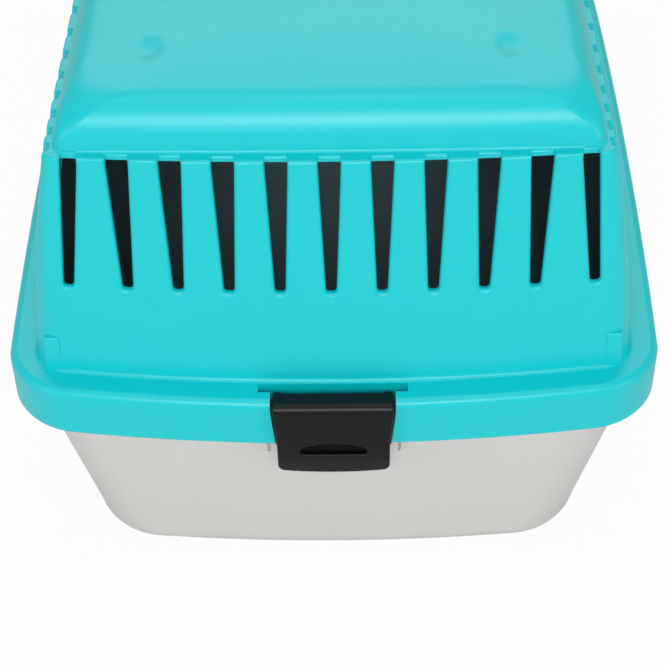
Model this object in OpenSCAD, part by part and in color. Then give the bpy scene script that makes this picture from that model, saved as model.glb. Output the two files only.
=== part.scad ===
// Two-shell plastic pet carrier: a lower tub, a vented upper shell with a
// rounded rim flange, three snap clips, a grille door with a squeeze latch,
// and a carrying handle that folds flat into the roof.
// Millimetres. +Z is up, the door end is +Y, and the origin lies on the
// floor under the middle of the carrier.

/* [Rim] */
// Length over the rim flange, rear end to door end
rim_len = 480; // [440:5:560]
// Width over the rim flange at mid-length
rim_w = 320; // [290:5:380]
// Height of the rim skirt's bottom edge above the floor
skirt_z = 103.8; // [98:0.2:130]
// Height of the rim skirt, bottom edge to rim top
skirt_h = 26.2; // [25:0.2:32]
// Plan radius of the rim's corners
rim_r = 31; // [28:1:45]
// Radius along the rim's top edge
edge_r = 4.5; // [3:0.5:6]
// Depth of the flat rim ledge, skirt face to wall
rim_ledge = 15.5; // [13:0.5:18]
// Inward bow of the rim's ends, as a share of half the length
rim_bow = 0.057; // [0.02:0.0005:0.07]
// Inward bow of the long sides, as a share of half the width
side_bow = 0.036; // [0.01:0.001:0.05]

/* [Shells] */
// Wall thickness of both shells
wall = 2.6; // [2:0.1:3.2]
// Height of the upper wall, rim top to the narrow ledge
wall_h = 113.5; // [100:0.5:140]
// How far the rear wall leans in over its height
rear_lean = 18.9; // [10:0.1:24]
// How far the front wall leans in over its height
front_lean = 6; // [4:0.1:8]
// How far each long wall leans in over its height
side_lean = 18.5; // [10:0.1:22]
// How far the long walls swell out halfway up
wall_swell = 1.5; // [0:0.1:2]
// Plan radius where the wall meets the rim
wall_r = 12; // [10:1:20]
// Plan radius at the top of the wall
wall_top_r = 5; // [4:0.5:9]
// Inward bow of the end walls' tops
top_bow = 0.041; // [0.02:0.001:0.05]
// Inward bow of the roof's ends
roof_bow = 0.015; // [0.01:0.001:0.04]
// Inward bow of the long walls at their foot
foot_side_bow = 0.027; // [0.01:0.001:0.04]
// Inward bow of the long walls' tops and of the roof's sides
top_side_bow = 0.004; // [0.002:0.001:0.02]
// Depth of the narrow ledge at the two ends
step_end = 7.5; // [5:0.5:9]
// Depth of the narrow ledge along the two sides
step_side = 4.8; // [4:0.1:8]

/* [Roof] */
// Height from the narrow ledge to the top of the shoulder
roof_rise = 22; // [18:1:30]
// Depth of the rounded shoulder at the ends
shoulder_end = 19; // [14:1:24]
// Depth of the rounded shoulder along the sides
shoulder_side = 15; // [12:1:20]
// Plan radius of the roof's corners at the ledge
roof_r = 6; // [5:0.5:12]
// Plan radius of the roof's corners at the top of the shoulder
roof_top_r = 30; // [24:1:40]
// Extra height of the roof's middle
crown = 4; // [2:0.5:6]
// Distance of a dimple from the middle line
dimple_x = 80; // [74:1:88]
// Distance of a dimple from the shoulder's top
dimple_in = 27; // [20:1:45]
// Radius of a dimple's round outline
dimple_r = 9.5; // [5:0.5:10]
// Depth of a dimple
dimple_deep = 1.6; // [0.8:0.1:1.7]

/* [Lower tub] */
// Inset of the tub's end walls under the lip
tub_in_end = 8.3; // [7:0.1:10]
// Inset of the tub's long walls under the lip
tub_in_side = 5; // [4.6:0.1:8]
// How far the rear wall leans in, lip to bottom curve
tub_lean_rear = 14.5; // [8:0.5:20]
// How far the front wall leans in, lip to bottom curve
tub_lean_front = 6; // [4:0.5:8]
// How far each long wall leans in, lip to bottom curve
tub_lean_side = 26; // [14:0.5:28]
// Height and depth of the curve round the bottom
bottom_r = 12; // [9:1:20]
// Plan radius of the tub's corners at the bottom curve
tub_r = 32; // [28:1:60]
// Thickness of the lip that carries the upper shell
lip_t = 4; // [3:0.5:6]
// Gap between the lip's edge and the skirt
lip_gap = 0.5; // [0.3:0.1:1]

/* [Vents] */
// Width of a vent slot at its top
slot_top_w = 10; // [8:0.5:12]
// Width of a vent slot at its bottom
slot_low_w = 4.7; // [3:0.1:6]
// Length of a vent slot
slot_len = 64; // [50:1:80]
// How far a vent slot bites into the narrow ledge
slot_bite = 3.8; // [2:0.1:4]
// How far a side slot bites into the narrow ledge
side_bite = 2.2; // [1:0.1:3]
// Spacing of the rear vent slots
rear_pitch = 23.15; // [20:0.05:25]
// Rear slots to each side of the middle one
rear_each = 4; // [2:1:4]
// Distance of a corner slot's top from the middle line
corner_slot_x = 113.6; // [112:0.1:118]
// Sideways lean of a corner slot over its length
corner_slot_lean = 6.4; // [0:0.1:8]
// Distance of the first side slot from the rear wall's top
side_first = 13; // [9:0.1:14]
// Spacing of the first two side slots
side_pitch = 11.9; // [11:0.1:15]
// Growth of the spacing from slot to slot
side_growth = 1.35; // [0.8:0.05:1.4]
// Side slots in each half of a long wall
side_each = 10; // [6:1:10]
// Width of a side slot at its top
side_slot_w = 7; // [5:0.5:8]

/* [Clips] */
// Width of a clip at its top
clip_w = 56.2; // [48:0.2:64]
// How much narrower the clip is below the skirt, each side
clip_taper = 1.5; // [0:0.1:3]
// How far a clip hangs below the skirt
clip_drop = 15.5; // [13:0.5:22]
// Thickness of a clip's plate
clip_t = 2.8; // [2.2:0.1:3.2]
// How far a clip stands out from the skirt
clip_out = 3; // [2.6:0.1:4]
// Gap between a clip's side and the rim notch
clip_gap = 1.1; // [0.6:0.1:2]
// Radius of a clip's pivot pins
clip_pin_r = 1.8; // [1.4:0.1:2]
// Length of each pivot pin
clip_pin_l = 4.5; // [3:0.5:5]
// Radius of the knuckles that carry the pins
knuckle_r = 3; // [2.6:0.1:3.4]
// Distance of the pivot from the skirt's face
pivot_in = 5.5; // [5:0.1:6]
// Distance of the pivot below the rim's top
pivot_down = 4; // [3.8:0.1:5]
// Width of the finger recess in a clip
recess_w = 31.6; // [24:0.2:36]
// Height of the finger recess
recess_h = 7.4; // [5:0.2:9]
// How far the tooth reaches in behind the catch bar
tooth_in = 2.8; // [2:0.1:3.6]
// Distance of the side clips' middle from the door end
side_clip_end = 84; // [80:1:110]

/* [Door] */
// Width of the doorway
door_w = 190; // [170:2:200]
// Height of the doorway's sill above the floor
door_z = 38; // [32:1:50]
// Height of the doorway
door_h = 194; // [184:1:198]
// Thickness of the door frame
frame_t = 4; // [3:0.5:5]
// Gap between the door and its frame
door_gap = 1.5; // [1:0.1:2.5]
// Thickness of the door leaf
leaf_t = 4; // [3:0.5:5]
// Width of the leaf's border
leaf_edge = 11; // [9:0.5:14]
// Width of a grille bar
bar_w = 4; // [3:0.5:6]
// Upright gaps across the grille
bar_gaps = 9; // [6:1:12]
// Rows of gaps up the grille
bar_rows = 4; // [2:1:6]
// Radius of the door's hinge barrel
barrel_r = 4; // [3.5:0.1:4.4]
// Radius of the door's hinge pins
hinge_pin_r = 2; // [1.6:0.1:2.4]
// How far the door frame stands out past the rim
frame_out = -1.5; // [-2:0.1:-0.5]

/* [Latch] */
// Width of a latch bolt
bolt_w = 8; // [6:0.5:10]
// Thickness of a latch bolt
bolt_t = 4; // [3:0.5:5]
// Travel of a latch bolt
bolt_travel = 4.5; // [4:0.5:6]
// Distance of the bolts from the leaf's free edge
bolt_in = 13.5; // [12:0.5:18]
// Width of a squeeze grip
grip_w = 16; // [13:0.5:18]
// Height of a squeeze grip
grip_h = 11; // [8:0.5:14]
// Gap between the two grips when squeezed
grip_space = 18; // [16:1:26]
// Wire diameter of a latch spring
wire_d = 0.8; // [0.6:0.1:1]
// Outer diameter of a latch spring
spring_d = 3.6; // [3:0.1:4]
// Turns of a latch spring
spring_turns = 4; // [3:1:4]

/* [Handle] */
// Length of the handle recess along the roof
pocket_l = 164; // [150:2:180]
// Width of the handle recess
pocket_w = 124; // [112:2:132]
// How far the folded handle lies below the roof's top
handle_sink = 0.5; // [0:0.1:2]
// Thickness of the handle
handle_t = 9; // [8:0.5:10]
// Reach of the handle from its pivot
handle_reach = 50; // [44:1:52]
// Width of the handle's grip
handle_grip = 15; // [12:0.5:18]
// Width of each handle arm
arm_w = 9; // [7:0.5:12]
// Radius of the handle's pivot pins
handle_pin_r = 3; // [2.5:0.1:3.2]
// Length of each handle pivot pin
handle_pin_l = 8; // [6:0.5:10]

/* [Hidden] */

pin_fit = 0.06;   // radial running clearance of every pin in its bore
slide_fit = 0.3;  // clearance round what slides
handle_rest = 0.4; // gap under the folded handle
cut = 1;          // how far a cutter runs past the face it opens
corner_n = 6;     // steps round a plan corner
side_n = 6;       // steps along a plan side
shoulder_n = 5;   // steps up the roof's shoulder

rim_z = skirt_z + skirt_h;
seat_z = rim_z - wall;
step_z = rim_z + wall_h;
shoulder_z = step_z + roof_rise;
roof_z = shoulder_z + crown;
reach_y = rim_len / 2 + clip_out;
teal = [0, 0.75, 0.78];
grey = [0.80, 0.80, 0.79];
black = [0.13, 0.13, 0.14];
steel = [0.65, 0.66, 0.68];

// ---- Plan outlines and lofted shells ----

// A quarter circle of corner_n steps about a centre.
function quarter(c, r, a0) =
    [for (i = [0:corner_n]) c + r * [cos(a0 + 90 * i / corner_n), sin(a0 + 90 * i / corner_n)]];

// The points strictly between two ends.
function between(p, q) = [for (i = [1:side_n - 1]) p + (q - p) * i / side_n];

// A rounded rectangle with its own reach to the rear, to the front and to the sides.
function plan(rear, front, side, r) =
    let (arcs = [quarter([side - r, front - r], r, 0),
                 quarter([r - side, front - r], r, 90),
                 quarter([r - side, r - rear], r, 180),
                 quarter([side - r, r - rear], r, 270)])
    [for (k = [0:3]) each concat(arcs[k], between(arcs[k][corner_n], arcs[(k + 1) % 4][0]))];

// Bows all four sides of an outline, most at its corners. A bow is a pair, for the
// ends and for the long sides.
rim_bows = [rim_bow, side_bow];
foot_bows = [rim_bow, foot_side_bow];
top_bows = [top_bow, top_side_bow];
roof_bows = [roof_bow, top_side_bow];
function bowed(p, bow) = [p.x * (1 - bow[1] * pow(2 * p.y / rim_len, 2)),
                          p.y * (1 - bow[0] * pow(2 * p.x / rim_w, 2))];

// One level of a shell, given by its height and its insets from the rim.
function level(z, rear, front, side, r, bow) =
    [for (p = plan(rim_len / 2 - rear, rim_len / 2 - front, rim_w / 2 - side, r))
        let (q = bowed(p, bow)) [q.x, q.y, z]];

// The two triangles of each quad between level i and the next.
function skin(i, m, first, flip) =
    [for (j = [0:m - 1])
        let (a = first + i * m + j, b = first + i * m + (j + 1) % m)
        each (flip ? [[a, b, b + m], [a, b + m, a + m]] : [[a, a + m, b + m], [a, b + m, b]])];

// A closed shell: outer and inner levels, joined at level 0 and capped at the last.
module shell_of(outer, inner, upward) {
    m = len(outer[0]);
    first_in = len(outer) * m;
    last_out = first_in - m;
    last_in = first_in + (len(inner) - 1) * m;
    edge = [for (j = [0:m - 1])
        let (a = j, b = (j + 1) % m, c = first_in + b, d = first_in + j)
        each (upward ? [[a, b, c], [a, c, d]] : [[a, c, b], [a, d, c]])];
    cap_out = [for (j = [0:m - 1]) last_out + (upward ? m - 1 - j : j)];
    cap_in = [for (j = [0:m - 1]) last_in + (upward ? j : m - 1 - j)];
    polyhedron(
        points = [for (l = concat(outer, inner)) each l],
        faces = concat(
            [for (i = [0:len(outer) - 2]) each skin(i, m, 0, !upward)],
            [for (i = [0:len(inner) - 2]) each skin(i, m, first_in, upward)],
            edge, [cap_out], [cap_in]));
}

// A box between two corners.
module box(low, high) translate(low) cube(high - low);

// A straight cylinder along X or along Y, from one end to the other.
module bar_x(x0, x1, y, z, r) translate([x0, y, z]) rotate([0, 90, 0])
    cylinder(r = r, h = x1 - x0, $fn = 48);
module bar_y(x, y0, y1, z, r) translate([x, y0, z]) rotate([-90, 0, 0])
    cylinder(r = r, h = y1 - y0, $fn = 48);

// Turns a profile drawn in Y and Z into a solid of a given half length along X.
module along_x(half) translate([-half, 0, 0]) rotate([90, 0, 90]) linear_extrude(2 * half) children();

// ---- Places round the rim where a clip sits ----

// Where the long side's skirt face lies at a given y, and how far it turns in there.
skirt_k = side_bow * pow(2 / (1 - rim_bow) / rim_len, 2);
side_clip_y = rim_len / 2 - side_clip_end;
function skirt_x(y) = rim_w / 2 * (1 - skirt_k * pow(y, 2));
function skirt_turn(y) = atan(rim_w * skirt_k * y);

// Moves a clip-sized shape from the rear end to another place on the rim. In its own
// frame the skirt's face is y = 0 and +Y points into the carrier.
module at_rear() translate([0, -rim_len / 2, 0]) children();
module at_side(side) translate([side * skirt_x(side_clip_y), side_clip_y, 0])
    rotate([0, 0, side * (90 + skirt_turn(side_clip_y))]) children();
module at_clips() {
    at_rear() children();
    for (side = [-1, 1]) at_side(side) children();
}

pivot_z = rim_z - pivot_down;
clip_half = clip_w / 2;
clip_low_half = clip_half - clip_taper;
clip_bottom = skirt_z - clip_drop;
catch_t = 3;                              // thickness of the catch bar
catch_z = skirt_z - catch_t - 0.7;        // underside of the catch bar
catch_front = clip_t - clip_out + 1.4;    // the bar's front face, behind the clip's plate
tooth_top = catch_z - 0.5;
tooth_h = 5;
recess_z = catch_z;
pin_end = clip_half + clip_gap + clip_pin_l;            // how far a pin's bore runs
liner_half = pin_end + 3.2;                             // half length of the clip housing
liner_front = wall - 0.4;                               // the housing starts inside the skirt
liner_z = rim_z - 14;                                   // the housing's underside
groove_half = pin_end + 1.3;                            // half length of the groove behind a clip
groove_front = pivot_in + knuckle_r + 0.1;
tub_clear = 1;                            // gap from the clip housing to the tub's notch
catch_half = clip_low_half - 3;           // half length of the catch bar
rib_x = clip_half + 4;                    // the ribs stand just outside the clip
rib_t = 1.2;
rib_z0 = catch_z - 8;
rib_z1 = liner_z - tub_clear - 0.5;
rib_front = 6;                            // the ribs' front edge, behind the skirt's face

// The clip's outline seen from outside, grown by a gap.
module clip_outline(gap, low) {
    top = rim_z + 2 * cut;
    polygon([[-clip_half - gap, top], [clip_half + gap, top],
             [clip_half + gap, rim_z], [clip_low_half + gap, skirt_z],
             [clip_low_half + gap, low], [-clip_low_half - gap, low],
             [-clip_low_half - gap, skirt_z], [-clip_half - gap, rim_z]]);
}

// What the upper shell adds at each clip: a housing that carries the pivot pins.
module clip_housing() box([-liner_half, liner_front, liner_z],
                          [liner_half, rim_ledge + wall, seat_z + wall / 2]);

// What the upper shell loses at each clip.
module clip_cuts() {
    translate([0, rim_ledge, 0]) rotate([90, 0, 0]) linear_extrude(rim_ledge + cut)
        clip_outline(clip_gap, skirt_z - cut);
    box([-groove_half, groove_front, liner_z + wall], [groove_half, rim_ledge, rim_z + cut]);
    bar_x(-pin_end, pin_end, pivot_in, pivot_z, clip_pin_r + pin_fit);
}

// Inset of a tub wall from the skirt's face, at a given height.
function tub_inset(z, in, lean) = in + lean * (lip_z - z) / (lip_z - bottom_r);

// What the tub adds at each clip: the catch bar and a rib at each side of it.
module clip_catch(in, lean) {
    function in_wall(z) = tub_inset(z, in, lean) + wall / 2;
    box([-catch_half, catch_front, catch_z], [catch_half, in_wall(catch_z), catch_z + catch_t]);
    for (s = [-1, 1]) translate([s * rib_x, 0, 0]) along_x(rib_t / 2)
        polygon([[rib_front, rib_z0], [in_wall(rib_z0), rib_z0],
                 [in_wall(rib_z1), rib_z1], [rib_front, rib_z1]]);
}

// What the tub loses at each clip: room for the housing.
module clip_room() box([-liner_half - tub_clear, -cut, liner_z - tub_clear],
                       [liner_half + tub_clear, rim_ledge + wall + 2 * tub_clear, rim_z]);

// ---- Doorway ----

door_half = door_w / 2;
door_top = door_z + door_h;
frame_back = 12;                                        // frame's reach past the wall's top
frame_y0 = rim_len / 2 - rim_ledge - front_lean - frame_back;
frame_y1 = rim_len / 2 + frame_out;                     // outer face of the door frame
hinge_x = -door_half + barrel_r + door_gap;
hinge_y = frame_y1 - barrel_r - 4.5;                    // the door sits 4.5 inside the frame
stop_t = 3;                                             // thickness and reach of the door stop
stop_y = hinge_y - leaf_t / 2 - slide_fit;              // the face the door closes against
leaf_y1 = hinge_y + leaf_t / 2;
bolt_x = door_half - door_gap - bolt_in;
bolt_y0 = leaf_y1 + slide_fit;
bolt_y1 = bolt_y0 + bolt_t;

frame_r = 2 * frame_t;                                  // radius of the frame's outer corners

// The door frame between two heights, an upright tube with rounded outer corners.
module door_frame(z0, z1) translate([0, frame_y1, 0]) rotate([90, 0, 0])
    linear_extrude(frame_y1 - frame_y0) difference() {
        intersection() {
            translate([-door_half - frame_t, z0]) square([door_w + 2 * frame_t, z1 - z0]);
            union() {
                translate([-door_half - frame_t, door_z - frame_t + frame_r])
                    square([door_w + 2 * frame_t, door_h + 2 * (frame_t - frame_r)]);
                translate([-door_half - frame_t + frame_r, door_z - frame_t])
                    square([door_w + 2 * (frame_t - frame_r), door_h + 2 * frame_t]);
                for (sx = [-1, 1], z = [door_z - frame_t + frame_r, door_top + frame_t - frame_r])
                    translate([sx * (door_half + frame_t - frame_r), z]) circle(r = frame_r, $fn = 48);
            }
        }
        translate([-door_half, door_z]) square([door_w, door_h]);
    }

// A strip inside the frame that the door's free edge closes against.
module door_stop(z0, z1) box([door_half - stop_t, stop_y - stop_t, z0],
                             [door_half + frame_t / 2, stop_y, z1]);

// The way through the shells' end walls.
module doorway() box([-door_half, frame_y0 - foot_rear, door_z], [door_half, rim_len / 2 + cut, door_top]);
module hinge_bore(z0, z1) translate([hinge_x, hinge_y, z0])
    cylinder(r = hinge_pin_r + pin_fit, h = z1 - z0, $fn = 48);
module keeper(z0, z1) box([bolt_x - bolt_w / 2 - slide_fit, bolt_y0 - slide_fit, z0],
                          [bolt_x + bolt_w / 2 + slide_fit, bolt_y1 + slide_fit, z1]);

// ---- Vent slots ----

slot_top = step_z - wall;
slot_low = slot_top - slot_len;
slot_past = 25;                                        // how far a cutter runs past the wall
slot_reach = rim_ledge + rear_lean + slot_past;        // how far a rear slot's cutter runs in
corner_slot_w = 7;                                     // width of a corner slot at its top

// A wedge-shaped slot with a round bottom, its top shifted sideways by lean.
module slot_outline(top_w, lean) {
    r = slot_low_w / 2;
    polygon([[-r, slot_low + r], [r, slot_low + r],
             [top_w / 2 - lean, slot_top], [-top_w / 2 - lean, slot_top]]);
    translate([0, slot_low + r]) circle(r = r, $fn = 24);
}
wall_top_x = rim_w / 2 - rim_ledge - side_lean;        // long wall's top, as a distance
wall_top_y = rim_len / 2 - rim_ledge - rear_lean;      // rear wall's top, as a distance

// A rear slot, with its bite into the ledge above.
module rear_slot(x, top_w, lean) {
    face = -wall_top_y * (1 - top_bow * pow(2 * x / rim_w, 2));
    translate([x, -rim_len / 2 + slot_reach, 0])
        rotate([90, 0, 0]) linear_extrude(slot_reach) slot_outline(top_w, lean);
    box([x - lean - top_w / 2, face - cut, slot_top - cut],
        [x - lean + top_w / 2, face + slot_bite, step_z + cut]);
}
module side_slots(y) {
    translate([-rim_w / 2, y, 0])
        rotate([90, 0, 90]) linear_extrude(rim_w) slot_outline(side_slot_w, 0);
    for (s = [-1, 1]) translate([s * (wall_top_x - side_bite / 2 + cut), y, slot_top + wall / 2])
        cube([side_bite + 2 * cut, side_slot_w, wall + 2 * cut], center = true);
}

wall_mid_y = (rear_lean - front_lean) / 2;             // middle of the wall's top
function side_slot_y(i) = -wall_top_y + side_first + side_pitch * i + side_growth / 2 * i * (i - 1);

module vents() {
    for (i = [-rear_each:rear_each]) rear_slot(i * rear_pitch, slot_top_w, 0);
    for (s = [-1, 1]) rear_slot(s * (corner_slot_x + corner_slot_lean), corner_slot_w,
                                     s * corner_slot_lean);
    for (i = [0:side_each]) {
        side_slots(side_slot_y(i));
        side_slots(2 * wall_mid_y - side_slot_y(i));
    }
    side_slots(wall_mid_y);
}

// ---- Upper shell ----

// Insets at the roof's foot, and the curve from there up the shoulder.
foot_rear = rim_ledge + rear_lean + step_end;
foot_front = rim_ledge + front_lean + step_end;
foot_side = rim_ledge + side_lean + step_side;
function shoulder(k, t) =
    let (a = 90 * k / shoulder_n, in = 1 - cos(a))
    level(step_z - t + roof_rise * sin(a),
          foot_rear + t + shoulder_end * in, foot_front + t + shoulder_end * in,
          foot_side + t + shoulder_side * in, roof_r + (roof_top_r - roof_r) * in, roof_bows);
function roof(share, in, t) =
    level(shoulder_z - t + crown * share,
          foot_rear + t + shoulder_end + in, foot_front + t + shoulder_end + in,
          foot_side + t + shoulder_side + in, roof_top_r, roof_bows);

// The wall at a share of its height, moved in by t. It is straight but for the swell
// of the long sides.
swell_at = 0.55;
function wall_level(k, t) =
    level(k == 0 && t > 0 ? seat_z : rim_z + wall_h * k - (k == 1 ? t : 0),
          rim_ledge + rear_lean * k + t, rim_ledge + front_lean * k + t,
          rim_ledge + side_lean * k + t - (k == swell_at ? wall_swell : 0),
          wall_r + (wall_top_r - wall_r) * k - t, foot_bows + (top_bows - foot_bows) * k);

crown_in = [25, 60];                                   // the roof's rings, in from its edge
upper_outer = concat(
    [level(skirt_z, 0, 0, 0, rim_r, rim_bows),
     level(rim_z - edge_r, 0, 0, 0, rim_r, rim_bows),
     for (a = [30, 60, 90]) let (in = edge_r * (1 - cos(a)))
        level(rim_z - edge_r * (1 - sin(a)), in, in, in, rim_r - in, rim_bows)],
    [for (k = [0, swell_at, 1]) wall_level(k, 0)],
    [for (k = [0:shoulder_n]) shoulder(k, 0)],
    [roof(0.6, crown_in[0], 0), roof(1, crown_in[1], 0)]);

upper_inner = concat(
    [level(skirt_z, wall, wall, wall, rim_r - wall, rim_bows),
     level(seat_z, wall, wall, wall, rim_r - wall, rim_bows)],
    [for (k = [0, swell_at, 1]) wall_level(k, wall)],
    [for (k = [0:shoulder_n]) shoulder(k, wall)],
    [roof(0.6, crown_in[0], wall), roof(1, crown_in[1], wall)]);

// The handle's recess and the blocks that hold its pivot pins.
handle_z = roof_z - handle_sink - handle_t / 2;
pocket_z = handle_z - handle_t / 2 - handle_rest;
bore_end = pocket_l / 2 + handle_pin_l + 0.5;          // the pins' bores end just past the pins
boss_half = handle_pin_r + 4;
module handle_tray() {
    box([-pocket_w / 2 - wall, -pocket_l / 2 - wall, pocket_z - wall],
        [pocket_w / 2 + wall, pocket_l / 2 + wall, roof_z - 0.8 * wall - 0.4 * crown]);
    box([-boss_half, -bore_end - wall, pocket_z - wall], [boss_half, bore_end + wall, roof_z - wall / 2]);
}
module handle_cuts() {
    box([-pocket_w / 2, -pocket_l / 2, pocket_z], [pocket_w / 2, pocket_l / 2, roof_z + cut]);
    bar_y(0, -bore_end, bore_end, handle_z, handle_pin_r + pin_fit);
}

// Round dimples near the roof's four corners.
dimple_ball = (pow(dimple_r, 2) + pow(dimple_deep, 2)) / (2 * dimple_deep);
dimple_roof = shoulder_z + 0.6 * crown;
module dimples() {
    for (sx = [-1, 1], y = [-rim_len / 2 + foot_rear + shoulder_end + dimple_in,
                            rim_len / 2 - foot_front - shoulder_end - dimple_in])
        translate([sx * dimple_x, y, dimple_roof + dimple_ball - dimple_deep])
            sphere(r = dimple_ball, $fn = 96);
}

// Small upright blocks that square off the foot of each rounded corner.
block_x = rim_w / 2 - rim_ledge - 8.2;
block_y = rim_len / 2 - rim_ledge - 8.5;
block_deep = 9;
block_h = 19;
block_draft = 1.8;                                     // how much it narrows over its height
block_rings = [for (r = [[0, block_deep], [block_h + wall / 2, block_deep - block_draft]])
    each [[0, 0, r[0]], [r[1], 0, r[0]], [r[1], r[1], r[0]], [0, r[1], r[0]]]];
module corner_blocks() {
    for (sx = [-1, 1], sy = [-1, 1]) translate([0, 0, rim_z - wall / 2])
        mirror([sx < 0 ? 1 : 0, 0, 0]) mirror([0, sy < 0 ? 1 : 0, 0])
            translate([block_x - block_deep, block_y - block_deep, 0])
                polyhedron(block_rings, [[0, 1, 2, 3], [4, 5, 1, 0], [7, 6, 5, 4], [5, 6, 2, 1],
                                         [6, 7, 3, 2], [7, 4, 0, 3]]);
}

module upper_shell() color(teal) difference() {
    union() {
        difference() {
            shell_of(upper_outer, upper_inner, true);
            doorway();
        }
        door_frame(seat_z, door_top + frame_t);
        door_stop(seat_z, door_top);
        at_clips() clip_housing();
        handle_tray();
        corner_blocks();
    }
    box([-door_half - frame_t - lip_gap, frame_y0 - 1, skirt_z - cut],
        [door_half + frame_t + lip_gap, rim_len / 2 + cut, seat_z]);
    hinge_bore(door_top - cut, door_top + frame_t + cut);
    keeper(door_top - cut, door_top + frame_t + cut);
    at_clips() clip_cuts();
    handle_cuts();
    dimples();
    vents();
}

// ---- Lower tub ----

lip_in = wall + lip_gap;
lip_z = seat_z - lip_t;

// A level of the tub's bottom curve, at an angle from upright wall to flat floor.
function tub_curve(a, t) =
    let (in = bottom_r * (1 - cos(a)) + t)
    level(bottom_r * (1 - sin(a)) + t, tub_in_end + tub_lean_rear + in,
          tub_in_end + tub_lean_front + in, tub_in_side + tub_lean_side + in, tub_r - in / 2, rim_bows);

tub_outer = concat(
    [level(seat_z, lip_in, lip_in, lip_in, rim_r - lip_in, rim_bows),
     level(lip_z, lip_in, lip_in, lip_in, rim_r - lip_in, rim_bows),
     level(lip_z, tub_in_end, tub_in_end, tub_in_side, rim_r - 3, rim_bows)],
    [for (a = [0, 22.5, 45, 67.5, 90]) tub_curve(a, 0)]);
tub_inner = concat(
    [level(seat_z, tub_in_end + wall, tub_in_end + wall, tub_in_side + wall, rim_r - 3 - wall,
           rim_bows)],
    [for (a = [0, 22.5, 45, 67.5, 90]) tub_curve(a, wall)]);

module lower_shell() color(grey) difference() {
    union() {
        difference() {
            shell_of(tub_outer, tub_inner, false);
            doorway();
        }
        door_frame(door_z - frame_t, seat_z);
        at_rear() clip_catch(tub_in_end, tub_lean_rear);
        for (side = [-1, 1]) at_side(side) clip_catch(tub_in_side, tub_lean_side);
        door_stop(door_z, seat_z);
    }
    hinge_bore(door_z - frame_t - cut, door_z + cut);
    keeper(door_z - frame_t - cut, door_z + cut);
    at_clips() clip_room();
}

// ---- Clips ----

// A clip seen from its end: a top plate, a rounded edge and a hanging plate with a tooth.
module clip_profile() {
    back = pivot_in + plate_back;
    r = edge_r;
    difference() {
        union() {
            translate([r - clip_out, rim_z - r]) circle(r = r, $fn = 48);
            polygon([[-clip_out, clip_bottom], [clip_t - clip_out, clip_bottom],
                     [clip_t - clip_out, rim_z - r], [-clip_out, rim_z - r]]);
            polygon([[r - clip_out, rim_z - clip_t], [back, rim_z - clip_t], [back, rim_z],
                     [r - clip_out, rim_z]]);
        }
        translate([r - clip_out, rim_z - r]) circle(r = r - clip_t, $fn = 48);
        polygon([[r - clip_out, rim_z - r], [r - clip_out, rim_z - clip_t],
                 [r, rim_z - clip_t], [r, rim_z - 2 * r], [clip_t - clip_out, rim_z - 2 * r],
                 [clip_t - clip_out, rim_z - r]]);
    }
}
module tooth_profile() {
    root = clip_t - clip_out - 0.4;
    tip = catch_front + tooth_in;
    polygon([[root, tooth_top], [tip, tooth_top - 0.5],
             [tip, tooth_top - 1.8], [root, tooth_top - tooth_h]]);
}

// The finger recess has a flat floor and an arched top.
module finger_recess() {
    drop = 0.7 * recess_h;
    r = (pow(recess_w / 2, 2) + pow(drop, 2)) / (2 * drop);
    intersection() {
        translate([-recess_w / 2, recess_z]) square([recess_w, recess_h]);
        translate([0, recess_z + recess_h - r]) circle(r = r, $fn = 96);
    }
}

plate_back = 1.3;                          // how far the top plate reaches past the pivot
knuckle_l = 6;
knuckle_web = 2 * knuckle_r - 1.6;         // the web that joins a knuckle to the top plate
module clip() color(black) {
    corner = 3;
    difference() {
        intersection() {
            along_x(clip_half) clip_profile();
            translate([0, rim_ledge, 0]) rotate([90, 0, 0]) linear_extrude(rim_ledge + clip_out + cut)
                difference() {
                    clip_outline(0, clip_bottom);
                    for (s = [-1, 1]) translate([s * (clip_low_half - corner), clip_bottom + corner])
                        difference() {
                            translate([s > 0 ? 0 : -corner - cut, -corner - cut])
                                square([corner + cut, corner + cut]);
                            circle(r = corner, $fn = 32);
                        }
                }
        }
        translate([0, clip_t / 2 - clip_out, 0]) rotate([90, 0, 0]) linear_extrude(clip_t) finger_recess();
    }
    along_x(recess_w / 2) tooth_profile();
    for (s = [-1, 1]) {
        translate([s * (clip_half - knuckle_l / 2), 0, 0]) {
            bar_x(-knuckle_l / 2, knuckle_l / 2, pivot_in, pivot_z, knuckle_r);
            box([-knuckle_l / 2, pivot_in - knuckle_r, pivot_z],
                [knuckle_l / 2, pivot_in - knuckle_r + knuckle_web, rim_z - 0.6]);
        }
        translate([s * (clip_half + clip_pin_l / 2), 0, 0])
            bar_x(-clip_pin_l / 2, clip_pin_l / 2, pivot_in, pivot_z, clip_pin_r);
    }
}
module rear_clip() at_rear() clip();
module left_clip() at_side(-1) clip();
module right_clip() at_side(1) clip();

// ---- Door ----

mid_z = door_z + door_h / 2;
leaf_z0 = door_z + door_gap;
leaf_z1 = door_top - door_gap;
leaf_x1 = door_half - door_gap;
spring_stop_h = 3;                           // height of the fixed block between the two springs
cover_half = grip_w / 2 + 3;                 // half width of the latch cover
grille_x0 = hinge_x + leaf_edge;
grille_x1 = bolt_x - cover_half - 1;
gap_w = (grille_x1 - grille_x0 - (bar_gaps - 1) * bar_w) / bar_gaps;
gap_h = (leaf_z1 - leaf_z0 - 2 * leaf_edge - (bar_rows - 1) * bar_w) / bar_rows;

module grille_gap(i, k) {
    x = grille_x0 + i * (gap_w + bar_w) + gap_w / 2;
    z = leaf_z0 + leaf_edge + k * (gap_h + bar_w);
    r = gap_w / 2;
    translate([x - r, z + r]) square([2 * r, gap_h - 2 * r]);
    for (end = [z + r, z + gap_h - r]) translate([x, end]) circle(r = r, $fn = 24);
}

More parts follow.
